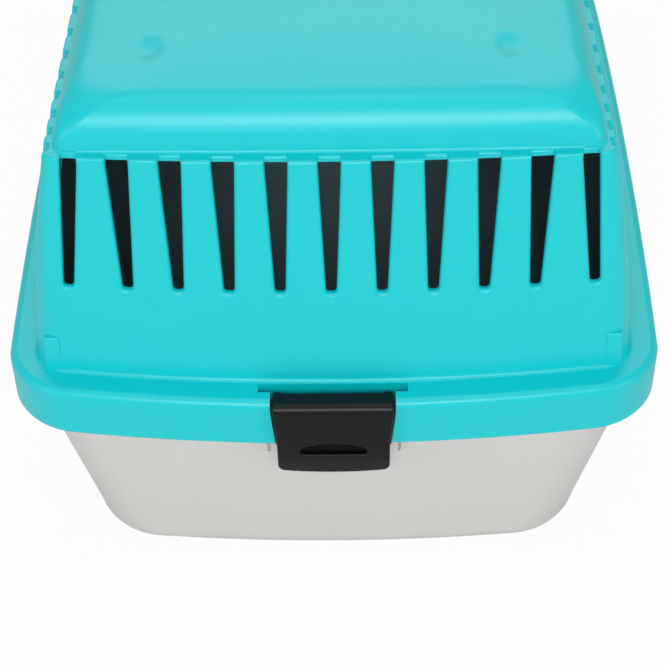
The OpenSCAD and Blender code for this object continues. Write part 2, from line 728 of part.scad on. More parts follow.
module door_leaf() color(grey) {
    translate([0, leaf_y1, 0]) rotate([90, 0, 0]) linear_extrude(leaf_t) difference() {
        translate([hinge_x, leaf_z0]) square([leaf_x1 - hinge_x, leaf_z1 - leaf_z0]);
        for (i = [0:bar_gaps - 1], k = [0:bar_rows - 1]) grille_gap(i, k);
    }
    translate([hinge_x, hinge_y, leaf_z0]) cylinder(r = barrel_r, h = leaf_z1 - leaf_z0, $fn = 48);
    translate([hinge_x, hinge_y, door_z - frame_t + 0.5])
        cylinder(r = hinge_pin_r, h = door_h + 2 * frame_t - 1, $fn = 48);
    box([bolt_x - bolt_w / 2, leaf_y1 - 0.2, mid_z - spring_stop_h / 2],
        [bolt_x + bolt_w / 2, bolt_y1 - 0.2, mid_z + spring_stop_h / 2]);
}

// ---- Squeeze latch ----

grip_z0 = mid_z + grip_space / 2;            // near face of the upper grip, squeezed
bolt_top = door_top - 1;                     // end of the upper bolt, squeezed
cover_t = 1.6;                               // thickness of the latch cover
cover_z = door_h / 2 - 12;                   // half length of the latch cover

// Both bolts are drawn upward from the middle; the lower one is turned over.
module bolt_up() {
    grip_half = grip_w / 2;
    tab_half = grip_half - 2;
    tab_t = 2.5;
    box([bolt_x - bolt_w / 2, bolt_y0, grip_z0], [bolt_x + bolt_w / 2, bolt_y1, bolt_top]);
    box([bolt_x - grip_half, bolt_y0, grip_z0], [bolt_x + grip_half, bolt_y1, grip_z0 + grip_h]);
    box([bolt_x - grip_half, bolt_y0, grip_z0], [bolt_x + grip_half, reach_y - 2, grip_z0 + tab_t]);
    box([bolt_x - tab_half, bolt_y0, grip_z0], [bolt_x + tab_half, reach_y, grip_z0 + tab_t]);
    for (i = [0:2])                          // raised lines for the fingers
        bar_x(bolt_x - tab_half, bolt_x + tab_half, bolt_y1, grip_z0 + tab_t + 2 + 2.2 * i, 0.7);
}
module upper_bolt() color(black) bolt_up();
module lower_bolt() color(black) translate([0, 0, mid_z]) mirror([0, 0, 1]) translate([0, 0, -mid_z])
    bolt_up();

// The cover is a channel over the bolts with a window for the two grips.
window_z = grip_space / 2 + grip_h + bolt_travel + 1;
module latch_cover() color(black) difference() {
    box([bolt_x - cover_half, leaf_y1, mid_z - cover_z],
        [bolt_x + cover_half, bolt_y1 + slide_fit + cover_t, mid_z + cover_z]);
    box([bolt_x - bolt_w / 2 - slide_fit, leaf_y1 - cut, mid_z - cover_z - cut],
        [bolt_x + bolt_w / 2 + slide_fit, bolt_y1 + slide_fit, mid_z + cover_z + cut]);
    box([bolt_x - grip_w / 2 - slide_fit, leaf_y1 - cut, mid_z - window_z],
        [bolt_x + grip_w / 2 + slide_fit, reach_y + cut, mid_z + window_z]);
}

// Compression springs between the stop and each grip, drawn squeezed.
spring_r = (spring_d - wire_d) / 2;
spring_z0 = mid_z + spring_stop_h / 2;
spring_h = grip_z0 - spring_z0;
spring_y = (bolt_y0 + bolt_y1) / 2;
ring_n = 8;                                  // rings in a turn
tube_n = 6;                                  // sides of the wire
coil_z0 = 1.5 * wire_d;                      // the turns start above the end of the wire
coil_h = spring_h - 2 * coil_z0;
spring_rings = spring_turns * ring_n;

// The wire's path: a short upright end, the turns, and another upright end.
function coil_at(s) =
    [spring_r * cos(360 * s), spring_r * sin(360 * s), coil_z0 + coil_h / spring_turns * s];
spring_path = concat(
    [[spring_r, 0, 0]],
    [for (i = [0:spring_rings]) coil_at(i / ring_n)],
    [[spring_r, 0, spring_h]]);
function unit(v) = v / norm(v);
function wire_ring(i) =
    let (n = len(spring_path),
         t = i == 0 || i == n - 1 ? [0, 0, 1]
             : unit(spring_path[i + 1] - spring_path[i - 1]),
         out = unit([spring_path[i].x, spring_path[i].y, 0]),
         side = unit(cross(t, out)),
         up = unit(cross(side, t)))
    [for (k = [0:tube_n - 1]) spring_path[i]
        + wire_d / 2 * (cos(360 * k / tube_n) * up + sin(360 * k / tube_n) * side)];
module coil_spring() {
    n = len(spring_path);
    polyhedron(
        points = [for (i = [0:n - 1]) each wire_ring(i)],
        faces = concat(
            [for (i = [0:n - 2]) each skin(i, tube_n, 0, false)],
            [[for (k = [0:tube_n - 1]) k]],
            [[for (k = [0:tube_n - 1]) (n - 1) * tube_n + tube_n - 1 - k]]));
}
module upper_spring() color(steel) translate([bolt_x, spring_y, spring_z0]) coil_spring();
module lower_spring() color(steel) translate([bolt_x, spring_y, 2 * mid_z - spring_z0])
    mirror([0, 0, 1]) coil_spring();

// ---- Carrying handle ----

arm_y = pocket_l / 2 - 0.5;                  // outer face of each arm
module carry_handle() color(grey) {
    h0 = handle_z - handle_t / 2;
    for (s = [-1, 1]) {
        box([0, min(s * arm_y, s * (arm_y - arm_w)), h0],
            [handle_reach - handle_grip / 2, max(s * arm_y, s * (arm_y - arm_w)), h0 + handle_t]);
        bar_y(0, min(s * arm_y, s * (arm_y - arm_w)), max(s * arm_y, s * (arm_y - arm_w)),
              handle_z, handle_t / 2);
        bar_y(0, min(s * (arm_y - 1), s * (pocket_l / 2 + handle_pin_l)),
              max(s * (arm_y - 1), s * (pocket_l / 2 + handle_pin_l)), handle_z, handle_pin_r);
    }
    translate([handle_reach - handle_grip, 0, h0]) linear_extrude(handle_t) handle_grip_outline();
}
module handle_grip_outline() {
    r = 7;                                   // radius of the grip's outer corners
    difference() {
        translate([0, -arm_y]) square([handle_grip, 2 * arm_y]);
        for (s = [-1, 1]) difference() {
            translate([handle_grip - r, s > 0 ? arm_y - r : -arm_y - cut]) square([r + cut, r + cut]);
            translate([handle_grip - r, s * (arm_y - r)]) circle(r = r, $fn = 48);
        }
    }
}

lower_shell();
upper_shell();
rear_clip();
left_clip();
right_clip();
door_leaf();
latch_cover();
upper_bolt();
lower_bolt();
upper_spring();
lower_spring();
carry_handle();
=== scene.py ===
# %% [markdown]
# A plastic pet carrier: a light grey tub, a turquoise top shell with vent
# slots and a wide rim, black snap clips, a grille door and a folding handle.
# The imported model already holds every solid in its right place. It is loaded
# first as a fixed frame, and each visible piece is then built round it with
# finer curves and softer edges, in the same coordinates.

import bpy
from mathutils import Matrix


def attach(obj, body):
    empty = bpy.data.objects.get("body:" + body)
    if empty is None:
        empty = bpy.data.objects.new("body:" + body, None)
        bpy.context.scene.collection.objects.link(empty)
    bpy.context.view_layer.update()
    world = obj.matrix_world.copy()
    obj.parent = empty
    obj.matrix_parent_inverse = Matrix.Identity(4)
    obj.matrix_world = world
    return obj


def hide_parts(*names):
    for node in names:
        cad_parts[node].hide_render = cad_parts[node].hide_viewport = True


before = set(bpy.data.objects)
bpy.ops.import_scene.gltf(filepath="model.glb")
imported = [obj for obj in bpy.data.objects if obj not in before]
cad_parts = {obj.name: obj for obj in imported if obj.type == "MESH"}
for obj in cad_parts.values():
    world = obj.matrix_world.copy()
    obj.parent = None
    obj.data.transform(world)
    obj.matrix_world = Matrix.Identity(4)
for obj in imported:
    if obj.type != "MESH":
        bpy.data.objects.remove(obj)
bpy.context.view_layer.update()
print("solids:", sorted(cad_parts))

# %% [markdown]
# The sizes below are those of the solids, in millimetres. Working in
# millimetres keeps the numbers readable; one factor turns them into Blender's
# metres at the moment a mesh is made. Numpy handles whole rings of points at
# once, which keeps the shapes short to describe.

# %% Sizes of the carrier
import math

import bmesh
import bpy
import numpy as np
from mathutils import Matrix, Vector
from mathutils.bvhtree import BVHTree

MM = 0.001
rim_len, rim_w = 480.0, 320.0            # over the rim flange
skirt_z, rim_z, rim_r = 103.8, 130.0, 31.0   # the rim's lower edge, top and corner radius
wall, edge_r, rim_ledge = 2.6, 4.5, 15.5
seat_z = rim_z - wall
step_z = rim_z + 113.5                   # the narrow ledge round the roof
shoulder_z = step_z + 22.0
roof_z = shoulder_z + 4.0
RIM_BOWS, FOOT_BOWS = (0.057, 0.036), (0.057, 0.027)     # bows of the ends and of the sides
TOP_BOWS, ROOF_BOWS = (0.041, 0.004), (0.015, 0.004)
print("height of the shell:", roof_z - skirt_z, "mm")

# %% [markdown]
# Both shells are one moulded skin each, whose outline changes slowly from
# the rim to the roof or the floor. Such a form is a loft: a stack of closed
# outlines joined by quads. Sculpting or subdivision would drift away from
# the measured outline, so the rings are computed. A level is a row of seven
# numbers: height, the insets at the rear, the front and the sides, the corner
# radius, and how far the ends and the sides bow inwards at their corners.
# Because a level is only numbers, the softened edge between two surfaces is a
# short curve between levels.

# %% Rings and levels
CORNER_STEPS, SIDE_STEPS = 24, 40
RING_PART = CORNER_STEPS + SIDE_STEPS    # points from one corner's start to the next


def ring(level):
    """The closed outline of a shell at one level, as points."""
    z, rear, front, side, radius, bow, side_bow = level
    x1, y0, y1 = rim_w / 2 - side, rear - rim_len / 2, rim_len / 2 - front
    centres = [(x1 - radius, y1 - radius), (radius - x1, y1 - radius),
               (radius - x1, y0 + radius), (x1 - radius, y0 + radius)]
    arcs = []
    for quarter, centre in enumerate(centres):
        turn = np.radians(90 * quarter + np.linspace(0, 90, CORNER_STEPS + 1))
        arcs.append(np.array(centre) + radius * np.c_[np.cos(turn), np.sin(turn)])
    share = np.linspace(0, 1, SIDE_STEPS + 1)[1:-1, None]
    parts = []
    for quarter in range(4):
        start, end = arcs[quarter][-1], arcs[(quarter + 1) % 4][0]
        parts += [arcs[quarter], start + (end - start) * share]
    x, y = np.vstack(parts).T
    return np.c_[x * (1 - side_bow * (2 * y / rim_len) ** 2),
                 y * (1 - bow * (2 * x / rim_w) ** 2), np.full(len(x), z)]


def inset(z, depth, radius, bows=RIM_BOWS):
    """A level that lies equally far in from the rim on all sides."""
    return np.array([z, depth, depth, depth, radius, *bows])


def eased(levels, softness, steps=5):
    """The same levels, with a smooth curve in place of each corner that has a softness."""
    out = [levels[0]]
    for before, here, after, soft in zip(levels, levels[1:], levels[2:], softness[1:]):
        if not soft:
            out.append(here)
            continue
        back = min(0.5, soft / np.linalg.norm((before - here)[:2]))
        on = min(0.5, soft / np.linalg.norm((after - here)[:2]))
        start, end = here + (before - here) * back, here + (after - here) * on
        for t in np.linspace(0, 1, steps + 1):
            out.append((1 - t) ** 2 * start + 2 * t * (1 - t) * here + t ** 2 * end)
    return out + [levels[-1]]


print("points in a ring:", len(ring(inset(rim_z, 0, rim_r))))

# %% [markdown]
# The smaller forms, such as housings, pins and cutters, are lofts as well: a
# block is two rectangles, a pin two circles, a slot cutter a row of growing
# outlines. One function therefore makes the faces of them all. A solid is
# kept as a pair of points and faces until it becomes an object, so it can be
# moved, mirrored and joined with plain arithmetic.

# %% Solids from rings
def loft(rings):
    """A closed solid through rings of equal length, capped at both ends."""
    count, last = len(rings[0]), len(rings) - 1
    faces = [(i * count + j, i * count + (j + 1) % count,
              (i + 1) * count + (j + 1) % count, (i + 1) * count + j)
             for i in range(last) for j in range(count)]
    faces += [tuple(range(count))[::-1], tuple(last * count + j for j in range(count))]
    return np.vstack(rings), faces


def block(low, high):
    """A box between two corners."""
    (x0, y0, z0), (x1, y1, z1) = low, high
    return loft([np.array([(x0, y0, z), (x1, y0, z), (x1, y1, z), (x0, y1, z)]) for z in (z0, z1)])


def facing(outline, across, along, at):
    """Points of a flat outline laid on two axes, at a place on the third."""
    points = np.full((len(outline), 3), float(at))
    points[:, across], points[:, along] = np.array(outline).T
    return points


def prism(outline, across, along, low, high):
    """An outline on two axes, drawn straight along the third."""
    return loft([facing(outline, across, along, at) for at in (low, high)])


def circle(centre, radius, count=48):
    turn = np.linspace(0, 2 * np.pi, count, endpoint=False)
    return np.array(centre) + radius * np.c_[np.cos(turn), np.sin(turn)]


def rounded(corners, radii, grow=0.0, steps=6):
    """A convex outline, counter-clockwise, with round corners, grown by a distance."""
    corners = np.array(corners, float)
    count, out = len(corners), []
    for k in range(count):
        here = corners[k]
        into, away = here - corners[k - 1], corners[(k + 1) % count] - here
        into, away = into / np.linalg.norm(into), away / np.linalg.norm(away)
        out_in, out_away = np.array([into[1], -into[0]]), np.array([away[1], -away[0]])
        half = (out_in + out_away) / (1 + out_in @ out_away)
        centre = here - radii[k] * half
        a0, a1 = math.atan2(out_in[1], out_in[0]), math.atan2(out_away[1], out_away[0])
        turn = a0 + (a1 - a0) % (2 * np.pi) * np.linspace(0, 1, steps + 1)
        out.append(centre + (radii[k] + grow) * np.c_[np.cos(turn), np.sin(turn)])
    return np.vstack(out)


def placed(solid, turn=0.0, move=(0, 0, 0), flip=(1, 1, 1)):
    """A solid mirrored, then turned about Z in degrees, then moved."""
    points, faces = solid
    a = math.radians(turn)
    x, y, z = (points * np.array(flip)).T
    turned = np.c_[x * math.cos(a) - y * math.sin(a), x * math.sin(a) + y * math.cos(a), z]
    return turned + np.array(move), faces


def joined(solids):
    """Several solids as one."""
    points, faces, start = [], [], 0
    for part_points, part_faces in solids:
        points.append(part_points)
        faces += [tuple(start + i for i in face) for face in part_faces]
        start += len(part_points)
    return np.vstack(points), faces


def as_object(name, solid):
    """A Blender object in metres, its faces turned outwards."""
    points, faces = solid
    mesh = bpy.data.meshes.new(name)
    mesh.from_pydata((points * MM).tolist(), [], faces)
    work = bmesh.new()
    work.from_mesh(mesh)
    bmesh.ops.recalc_face_normals(work, faces=work.faces)
    work.to_mesh(mesh)
    work.free()
    item = bpy.data.objects.new(name, mesh)
    bpy.context.scene.collection.objects.link(item)
    return item


def baked(item):
    """Applies an object's modifiers to its mesh."""
    graph = bpy.context.evaluated_depsgraph_get()
    mesh = bpy.data.meshes.new_from_object(item.evaluated_get(graph))
    item.modifiers.clear()
    old, item.data = item.data, mesh
    mesh.name = item.name
    bpy.data.meshes.remove(old)
    return item


def carve(item, solid, how="DIFFERENCE"):
    """Adds a solid to an object, or takes it away."""
    tool = as_object("tool", solid)
    step = item.modifiers.new("carve", "BOOLEAN")
    step.operation, step.solver, step.object = how, "MANIFOLD", tool
    baked(item)
    used = tool.data
    bpy.data.objects.remove(tool)
    bpy.data.meshes.remove(used)


def weld(item, solid):
    carve(item, solid, "UNION")


def smoothed(item, angle=34):
    """Smooth shading, except over edges sharper than an angle in degrees."""
    item.data.shade_smooth()
    item.data.set_sharp_from_angle(angle=math.radians(angle))
    even = item.modifiers.new("even normals", "WEIGHTED_NORMAL")
    even.keep_sharp, even.weight = True, 60
    return baked(item)


print("a block has", len(block((0, 0, 0), (1, 1, 1))[1]), "faces")

# %% [markdown]
# The turquoise shell is about 2.6 mm thick everywhere. Its section starts at
# the inside of the roof, runs down inside, round the skirt's lower edge, up
# the outside and over the shoulder to the roof's middle. Drawn as one path,
# inner and outer faces share the rounded lower edge and no seam is left. The
# softness values come from the highlights: about 2 mm where the wall turns
# into the ledge and in the hollow at its foot, and very little elsewhere.

# %% Section of the upper shell
WALL_FOOT = inset(rim_z, rim_ledge, 12, FOOT_BOWS)
WALL_TOP = np.array([step_z, 34.4, 21.5, 34.0, 5, *TOP_BOWS])
ROOF_FOOT = np.array([step_z, 41.9, 29.0, 38.8, 6, *ROOF_BOWS])
SHOULDER_IN = np.array([0, 19, 19, 15, 24, 0, 0.0])  # how a level changes over the shoulder
shoulder_h, crown, roof_in = shoulder_z - step_z, roof_z - shoulder_z, 60
SWELL_AT, SWELL = 0.55, 1.5                          # the long walls swell out halfway up


def wall_level(share):
    """The wall at a share of its height."""
    out = SWELL * min(share / SWELL_AT, (1 - share) / (1 - SWELL_AT))
    return WALL_FOOT + (WALL_TOP - WALL_FOOT) * share - np.array([0, 0, 0, out, 0, 0, 0])


def thinner(level, by=wall):
    """A level moved in and down by a wall."""
    return level + np.array([-by, by, by, by, max(-by, 1 - level[4]), 0, 0])


def shoulder(degrees):
    a = math.radians(degrees)
    return ROOF_FOOT + SHOULDER_IN * (1 - math.cos(a)) + np.array([shoulder_h * math.sin(a), *[0] * 6])


def roof(depth):
    """The gently crowned roof, a distance in from the top of the shoulder."""
    share = 1 - (1 - depth / roof_in) ** 1.7
    return shoulder(90) + np.array([crown * share, depth, depth, depth, 0, 0, 0])


roof_path = [shoulder(a) for a in (15, 30, 45, 60, 70, 80, 90)]
roof_path += [roof(d) for d in (3, 7, 12, 18, 25, 33, 42, 51, roof_in)]
rim_edge = [inset(rim_z - edge_r * (1 - math.sin(math.radians(a))),
                  edge_r * (1 - math.cos(math.radians(a))),
                  rim_r - edge_r * (1 - math.cos(math.radians(a)))) for a in range(0, 91, 10)]

outside = [inset(skirt_z, wall / 2, rim_r - wall / 2), inset(skirt_z, 0, rim_r)] + rim_edge
outside += [WALL_FOOT, wall_level(SWELL_AT), WALL_TOP, ROOF_FOOT] + roof_path
softness = [0, 0.8] + [0] * len(rim_edge) + [2.2, 30, 1.8, 1.6] + [0] * len(roof_path)
outside = eased(outside, softness)

inside = [inset(skirt_z, wall / 2, rim_r - wall / 2), inset(skirt_z, wall, rim_r - wall),
          inset(seat_z, wall, rim_r - wall)]
inside += [thinner(level) for level in
           [WALL_FOOT, wall_level(SWELL_AT), WALL_TOP, ROOF_FOOT] + roof_path]
inside = eased(inside, [0, 0.8, 0.6, 1.0, 30, 1.2, 1.0] + [0] * len(roof_path))

upper_rings = [ring(level) for level in inside[:0:-1] + outside]
upper = as_object("upper_shell_skin", loft(upper_rings))
inner_rings = len(inside) - 1
print("upper skin:", len(upper.data.polygons), "faces before carving")

# %% [markdown]
# Seen through the vents, the inside of the carrier is nearly black, although
# the shell is turquoise outside. That darkness is shade, and it is painted
# here: the faces of the inner rings get a near-black material in a slot of
# their own, set now while it is still known which ring each face came from.
# The later cuts keep the slot of the faces they leave, and what they open gets
# slot 0, so the walls of the slots stay turquoise.

# %% Mark the inner faces
def mark_inner(item, rings_inside, count):
    """Gives the faces between the first rings, and the first cap, slot 1."""
    for name in ("outer", "inner"):
        item.data.materials.append(bpy.data.materials.new(name + " marker"))
    for face in item.data.polygons:
        face.material_index = int(face.index < (rings_inside - 1) * count)
    item.data.polygons[-2].material_index = 1


mark_inner(upper, inner_rings, 4 * RING_PART)
print("inner faces:", sum(f.material_index for f in upper.data.polygons))

# %% [markdown]
# Three clips hang on the rim: one at the rear and one on each long side, near
# the door. All their cut-outs and housings have the same shape, so they are
# drawn once, in a frame where the skirt's face is y = 0 and +y points into the
# carrier, and then copied round the rim. The long sides bow, so the frames
# there are turned to follow the skirt's face.

# %% Places of the clips
side_y = 156.0                           # the side clips' place along the carrier
skirt_k = RIM_BOWS[1] * (2 / (1 - RIM_BOWS[0]) / rim_len) ** 2
skirt_x = rim_w / 2 * (1 - skirt_k * side_y ** 2)
skirt_turn = math.degrees(math.atan(rim_w * skirt_k * side_y))
CLIPS = {"rear_clip": dict(turn=0, move=(0, -rim_len / 2, 0))}
for side, name in ((-1, "left_clip"), (1, "right_clip")):
    CLIPS[name] = dict(turn=side * (90 + skirt_turn), move=(side * skirt_x, side_y, 0))


def at_clips(solid):
    return joined([placed(solid, **where) for where in CLIPS.values()])


clip_half, clip_low = 28.1, 26.6


def clip_side(z, gap=0.0):
    """Half the clip's width at a height: it narrows in an S over the skirt."""
    t = min(1, max(0, (rim_z - 3 - z) / (rim_z - skirt_z - 3)))
    return clip_half + gap - (clip_half - clip_low) * t * t * (3 - 2 * t)


notch_heights = list(np.linspace(rim_z - 3, skirt_z, 12))
notch_half = [(clip_side(z, 1.1), z) for z in [rim_z + 2] + notch_heights + [skirt_z - 1]]
notch = [(x, z) for x, z in notch_half] + [(-x, z) for x, z in notch_half[::-1]]
housing = block((-36.9, 2.2, 116), (36.9, rim_ledge + wall, seat_z + wall / 2))
groove_back = 14.0                       # 1.5 mm less than in the solid, as in the photograph
groove = block((-35, 8.6, 118.6), (35, groove_back, rim_z + 1))
pin_bore = prism(circle((5.5, 126), 1.86), 1, 2, -33.7, 33.7)
print("clips:", list(CLIPS), "side frames turned by", round(skirt_turn, 3), "degrees")

# %% [markdown]
# The door opens through both end walls, inside a square tube with rounded
# outer corners. The tube is added as a solid block and the doorway is then
# cut through block and wall together, with a cutter that widens over the last
# millimetre, so the frame's edge catches the light as a moulded edge does.

# %% Door frame
door_half, door_z, door_top, frame_t = 95.0, 38.0, 232.0, 4.0
frame_y0, frame_y1, frame_r = 206.5, 238.5, 8.0
hinge_x, hinge_y, bolt_x = -89.5, 230.0, 80.0


def soft_end(radius, sign=1, steps=5):
    """Pairs of growth and distance for an edge rounded at the end of a loft."""
    turn = np.radians(np.linspace(0, 90, steps + 1))
    return list(zip(sign * radius * (1 - np.cos(turn)), radius * np.sin(turn) - radius))


def frame_block(z0, z1, round_low, round_high):
    corners = [(-door_half - frame_t, z0), (door_half + frame_t, z0),
               (door_half + frame_t, z1), (-door_half - frame_t, z1)]
    radii = [frame_r * round_low] * 2 + [frame_r * round_high] * 2
    radii = [max(r, 1.2) for r in radii]
    rings = [facing(rounded(corners, radii), 0, 2, frame_y0)]
    rings += [facing(rounded(corners, radii, -grow), 0, 2, frame_y1 + back)
              for grow, back in soft_end(1.0)]
    return loft(rings)


def doorway():
    corners = [(-door_half, door_z), (door_half, door_z),
               (door_half, door_top), (-door_half, door_top)]
    rings = [facing(rounded(corners, [0.01] * 4), 0, 2, 164.6)]
    rings += [facing(rounded(corners, [0.01] * 4, grow), 0, 2, frame_y1 + back)
              for grow, back in soft_end(0.8)]
    rings.append(facing(rounded(corners, [0.01] * 4, 0.8), 0, 2, frame_y1 + 3))
    return loft(rings)


def door_stop(z0, z1):
    return block((92, 224.7, z0), (97, 227.7, z1))


def hinge_bore(z0, z1):
    return prism(circle((hinge_x, hinge_y), 2.06), 0, 1, z0, z1)


def keeper(z0, z1):
    return block((75.7, 232, z0), (84.3, 236.6, z1))


weld(upper, frame_block(seat_z, door_top + frame_t, 0, 1))
carve(upper, doorway())
weld(upper, door_stop(seat_z, door_top))
carve(upper, block((-99.5, 205.5, skirt_z - 1), (99.5, 241, seat_z)))
for opening in (hinge_bore, keeper):
    carve(upper, opening(door_top - 1, door_top + frame_t + 1))
print("upper skin with its door frame:", len(upper.data.polygons), "faces")

# %% [markdown]
# At each clip the rim has a notch whose edges follow the clip's own S-shaped
# sides, a groove behind it for the fingers of the mould, and a housing below
# with the bore of the pins. Small upright blocks square off the foot of each
# rounded corner of the wall; their edges are rounded, because it is their
# highlights that show.

# %% Clip housings, notches and corner blocks
def corner_block():
    start, deep, high, draft = np.array([127.3, 207.0]), 9.0, 20.3, 1.8
    rings = []
    for grow, up in [(0.0, 0.0)] + [(grow, high + back) for grow, back in soft_end(0.9)]:
        side = deep - draft * up / high
        corners = start + np.array([(0, 0), (side, 0), (side, side), (0, side)])
        rings.append(facing(rounded(corners, [0.9] * 4, -grow * 0.8), 0, 1, rim_z - 1.3 + up))
    return loft(rings)


weld(upper, at_clips(housing))
weld(upper, joined([placed(corner_block(), flip=(sx, sy, 1)) for sx in (-1, 1) for sy in (-1, 1)]))
carve(upper, at_clips(prism(notch, 0, 2, -1, groove_back)))
carve(upper, at_clips(groove))
carve(upper, at_clips(pin_bore))
print("upper skin with its clip seats:", len(upper.data.polygons), "faces")

# %% [markdown]
# The handle folds into a recess in the roof. The recess is a tray let into
# the shell, with two deeper blocks that hold the handle's pins. The oval
# dents near the roof's corners are soft hollows with no edge, so a ball would
# be the wrong cutter: theirs is a disc whose lower face follows the roof and
# dips by a cosine curve. The height of the roof under each point is found by
# dropping a ray on the mesh.

# %% Handle recess and dents
pocket = [(-62, -82), (62, -82), (62, 82), (-62, 82)]
pocket_rings = [facing(rounded(pocket, [4] * 4), 0, 1, 259.6)]
pocket_rings += [facing(rounded(pocket, [4] * 4, grow), 0, 1, roof_z + 0.02 + back)
                 for grow, back in soft_end(1.2)]
pocket_rings.append(facing(rounded(pocket, [4] * 4, 1.2), 0, 1, roof_z + 2))

weld(upper, block((-64.6, -84.6, 257), (64.6, 84.6, 265.8)))
weld(upper, block((-7, -93.1, 257), (7, 93.1, 268.2)))
carve(upper, loft(pocket_rings))
carve(upper, prism(circle((0, 264.5), 3.06), 0, 2, -90.5, 90.5))

surface = BVHTree.FromPolygons([v.co for v in upper.data.vertices],
                               [list(f.vertices) for f in upper.data.polygons])


def roof_height(x, y):
    hit = surface.ray_cast(Vector((x, y, 300)) * MM, Vector((0, 0, -1)))[0]
    return hit.z / MM


def dent(x, y, radius=9.0, length=1.4, deep=1.6):
    rings = []
    for share in np.linspace(0.04, 1.03, 14):
        low = deep * (1 + math.cos(math.pi * min(share, 1))) / 2 + 0.015
        flat = np.array([x, y]) + circle((0, 0), radius * share) * [1, length]
        rings.append(np.array([(px, py, roof_height(px, py) - low) for px, py in flat]))
    above = np.array([x, y]) + circle((0, 0), radius * 1.03) * [1, length]
    rings.append(np.array([(px, py, roof_z + 6) for px, py in above]))
    return loft(rings)


carve(upper, joined([dent(sx * 80, y) for sx in (-1, 1) for y in (-152.1, 165)]))
print("roof at the rear dents:", round(roof_height(80, -152.1), 2), "mm")

# %% [markdown]
# The vent slots are wedges with small round corners. Their rims are rounded,
# and their upper ends bite about 4 mm into the ledge above, 2 mm at the
# sides. The cutter is a loft in depth: outside it is wider by the rim's
# radius, it narrows over a quarter circle, and it steps down behind the
# ledge. Each of its points is measured from the wall's own surface, so the
# rim is even on the curved corners too.

# %% Vent slots
slot_top, slot_low = step_z - wall, step_z - wall - 64
RIM, EDGE = 1.8, 1.3                     # radii of the slots' rims and of the ledge above them
REAR_BITE, SIDE_BITE = 3.8, 2.2          # how far a slot bites into the ledge
slot_pitch, rear_columns = 23.15, range(-4, 5)


def wall_ring(z):
    return ring(wall_level((z - rim_z) / (step_z - rim_z)))


def rear_face(x, z):
    """The rear wall's outer face, also round its corners."""
    points = wall_ring(min(z, step_z))[2 * RING_PART:3 * RING_PART + CORNER_STEPS + 1]
    return np.interp(x, points[:, 0], points[:, 1])


def side_face(y, z):
    """The left wall's outer face, also round its corners."""
    points = wall_ring(min(z, step_z))[RING_PART:2 * RING_PART + CORNER_STEPS + 1][::-1]
    return np.interp(y, points[:, 1], points[:, 0])


def slot_outline(top_w, lean, grow, lift):
    low = 2.35
    corners = [(-low, slot_low), (low, slot_low),
               (top_w / 2 - lean, slot_top), (-top_w / 2 - lean, slot_top)]
    outline = rounded(corners, [1.8, 1.8, 1.0, 1.0], grow)
    high = outline[:, 1] > slot_top - 1.0 - 1e-6
    outline[high, 1] = outline[high, 1] + lift
    return outline


def slot_depths(bite):
    """Growth, lift over the slot's top and depth of each ring of a cutter."""
    rows = [(RIM, 5, -4)]
    for a in np.radians(np.linspace(0, 90, 6)):
        rows.append((RIM * (1 - math.sin(a)), 5, RIM * (1 - math.cos(a))))
    return rows + [(0, 5, bite), (0, 0, bite + 0.3), (0, 0, 12)]


def rear_slot(x, top_w, lean=0.0):
    rings = []
    for grow, lift, depth in slot_depths(REAR_BITE):
        outline = slot_outline(top_w, lean, grow, lift)
        rings.append(np.array([(x + u, rear_face(x + u, z) + depth, z) for u, z in outline]))
    return loft(rings)


def side_slot(y):
    rings = []
    for grow, lift, depth in slot_depths(SIDE_BITE):
        outline = slot_outline(7.0, 0, grow, lift)
        rings.append(np.array([(side_face(y + u, z) + depth, y + u, z) for u, z in outline]))
    return loft(rings)


wall_top_y, wall_mid_y = 205.6, 6.45
side_places = [-wall_top_y + 13 + 11.9 * i + 1.35 / 2 * i * (i - 1) for i in range(11)]
side_places += [2 * wall_mid_y - y for y in side_places] + [wall_mid_y]
slots = [rear_slot(slot_pitch * i, 10) for i in rear_columns]
slots += [rear_slot(s * 120, 7, s * 6.4) for s in (-1, 1)]
slots += [side_slot(y) for y in side_places]
slots += [placed(side_slot(y), flip=(-1, 1, 1)) for y in side_places]
carve(upper, joined(slots))


def bite_edge(bite, half):
    """Rounds the ledge's edge behind a slot, drawn in Y and Z from the wall's top."""
    arc = [(bite - 0.05 + EDGE * (1 - math.cos(a)), step_z - EDGE * (1 - math.sin(a)))
           for a in np.radians(np.linspace(0, 90, 6))]
    outline = [(bite - 0.4, step_z + 1), (bite - 0.4, step_z - EDGE)] + arc
    return prism(outline + [(bite + EDGE, step_z + 1)], 1, 2, -half, half)


def on_rear(x):
    """The place of the rear wall's top edge at a distance from the middle."""
    return x, rear_face(x, step_z), 0


edges = [placed(bite_edge(REAR_BITE, 4.6), move=on_rear(slot_pitch * i)) for i in rear_columns]
edges += [placed(bite_edge(REAR_BITE, 3.1), turn=s * -1.5, move=on_rear(s * 113.6)) for s in (-1, 1)]
edges += [placed(bite_edge(SIDE_BITE, 3.1), turn=-90 * s, move=(s * side_face(y, step_z), y, 0))
          for s in (-1, 1) for y in side_places]
carve(upper, joined(edges))
smoothed(upper)
print(len(slots), "slots;", len(upper.data.polygons), "faces in the upper skin")

# %% [markdown]
# The grey tub is a second loft: a lip that carries the upper shell, walls
# that lean in, and a curve round the floor. A catch bar stands on its wall
# behind each clip, with a small rib and a fine slit at each side of it, and
# the lower half of the door frame is part of it.

# %% The tub
lip_in, lip_z, floor_r = 3.1, 123.4, 12.0
SLIT = (84.4, 96.0)                      # heights of the slits beside the clips
TUB_TOP = np.array([lip_z, 8.3, 8.3, 5.0, 28, *RIM_BOWS])


def tub_curve(degrees, thick):
    a = math.radians(degrees)
    depth = floor_r * (1 - math.cos(a)) + thick
    return np.array([floor_r * (1 - math.sin(a)) + thick, 22.8 + depth, 14.3 + depth, 31 + depth,
                     32 - depth / 2, *RIM_BOWS])


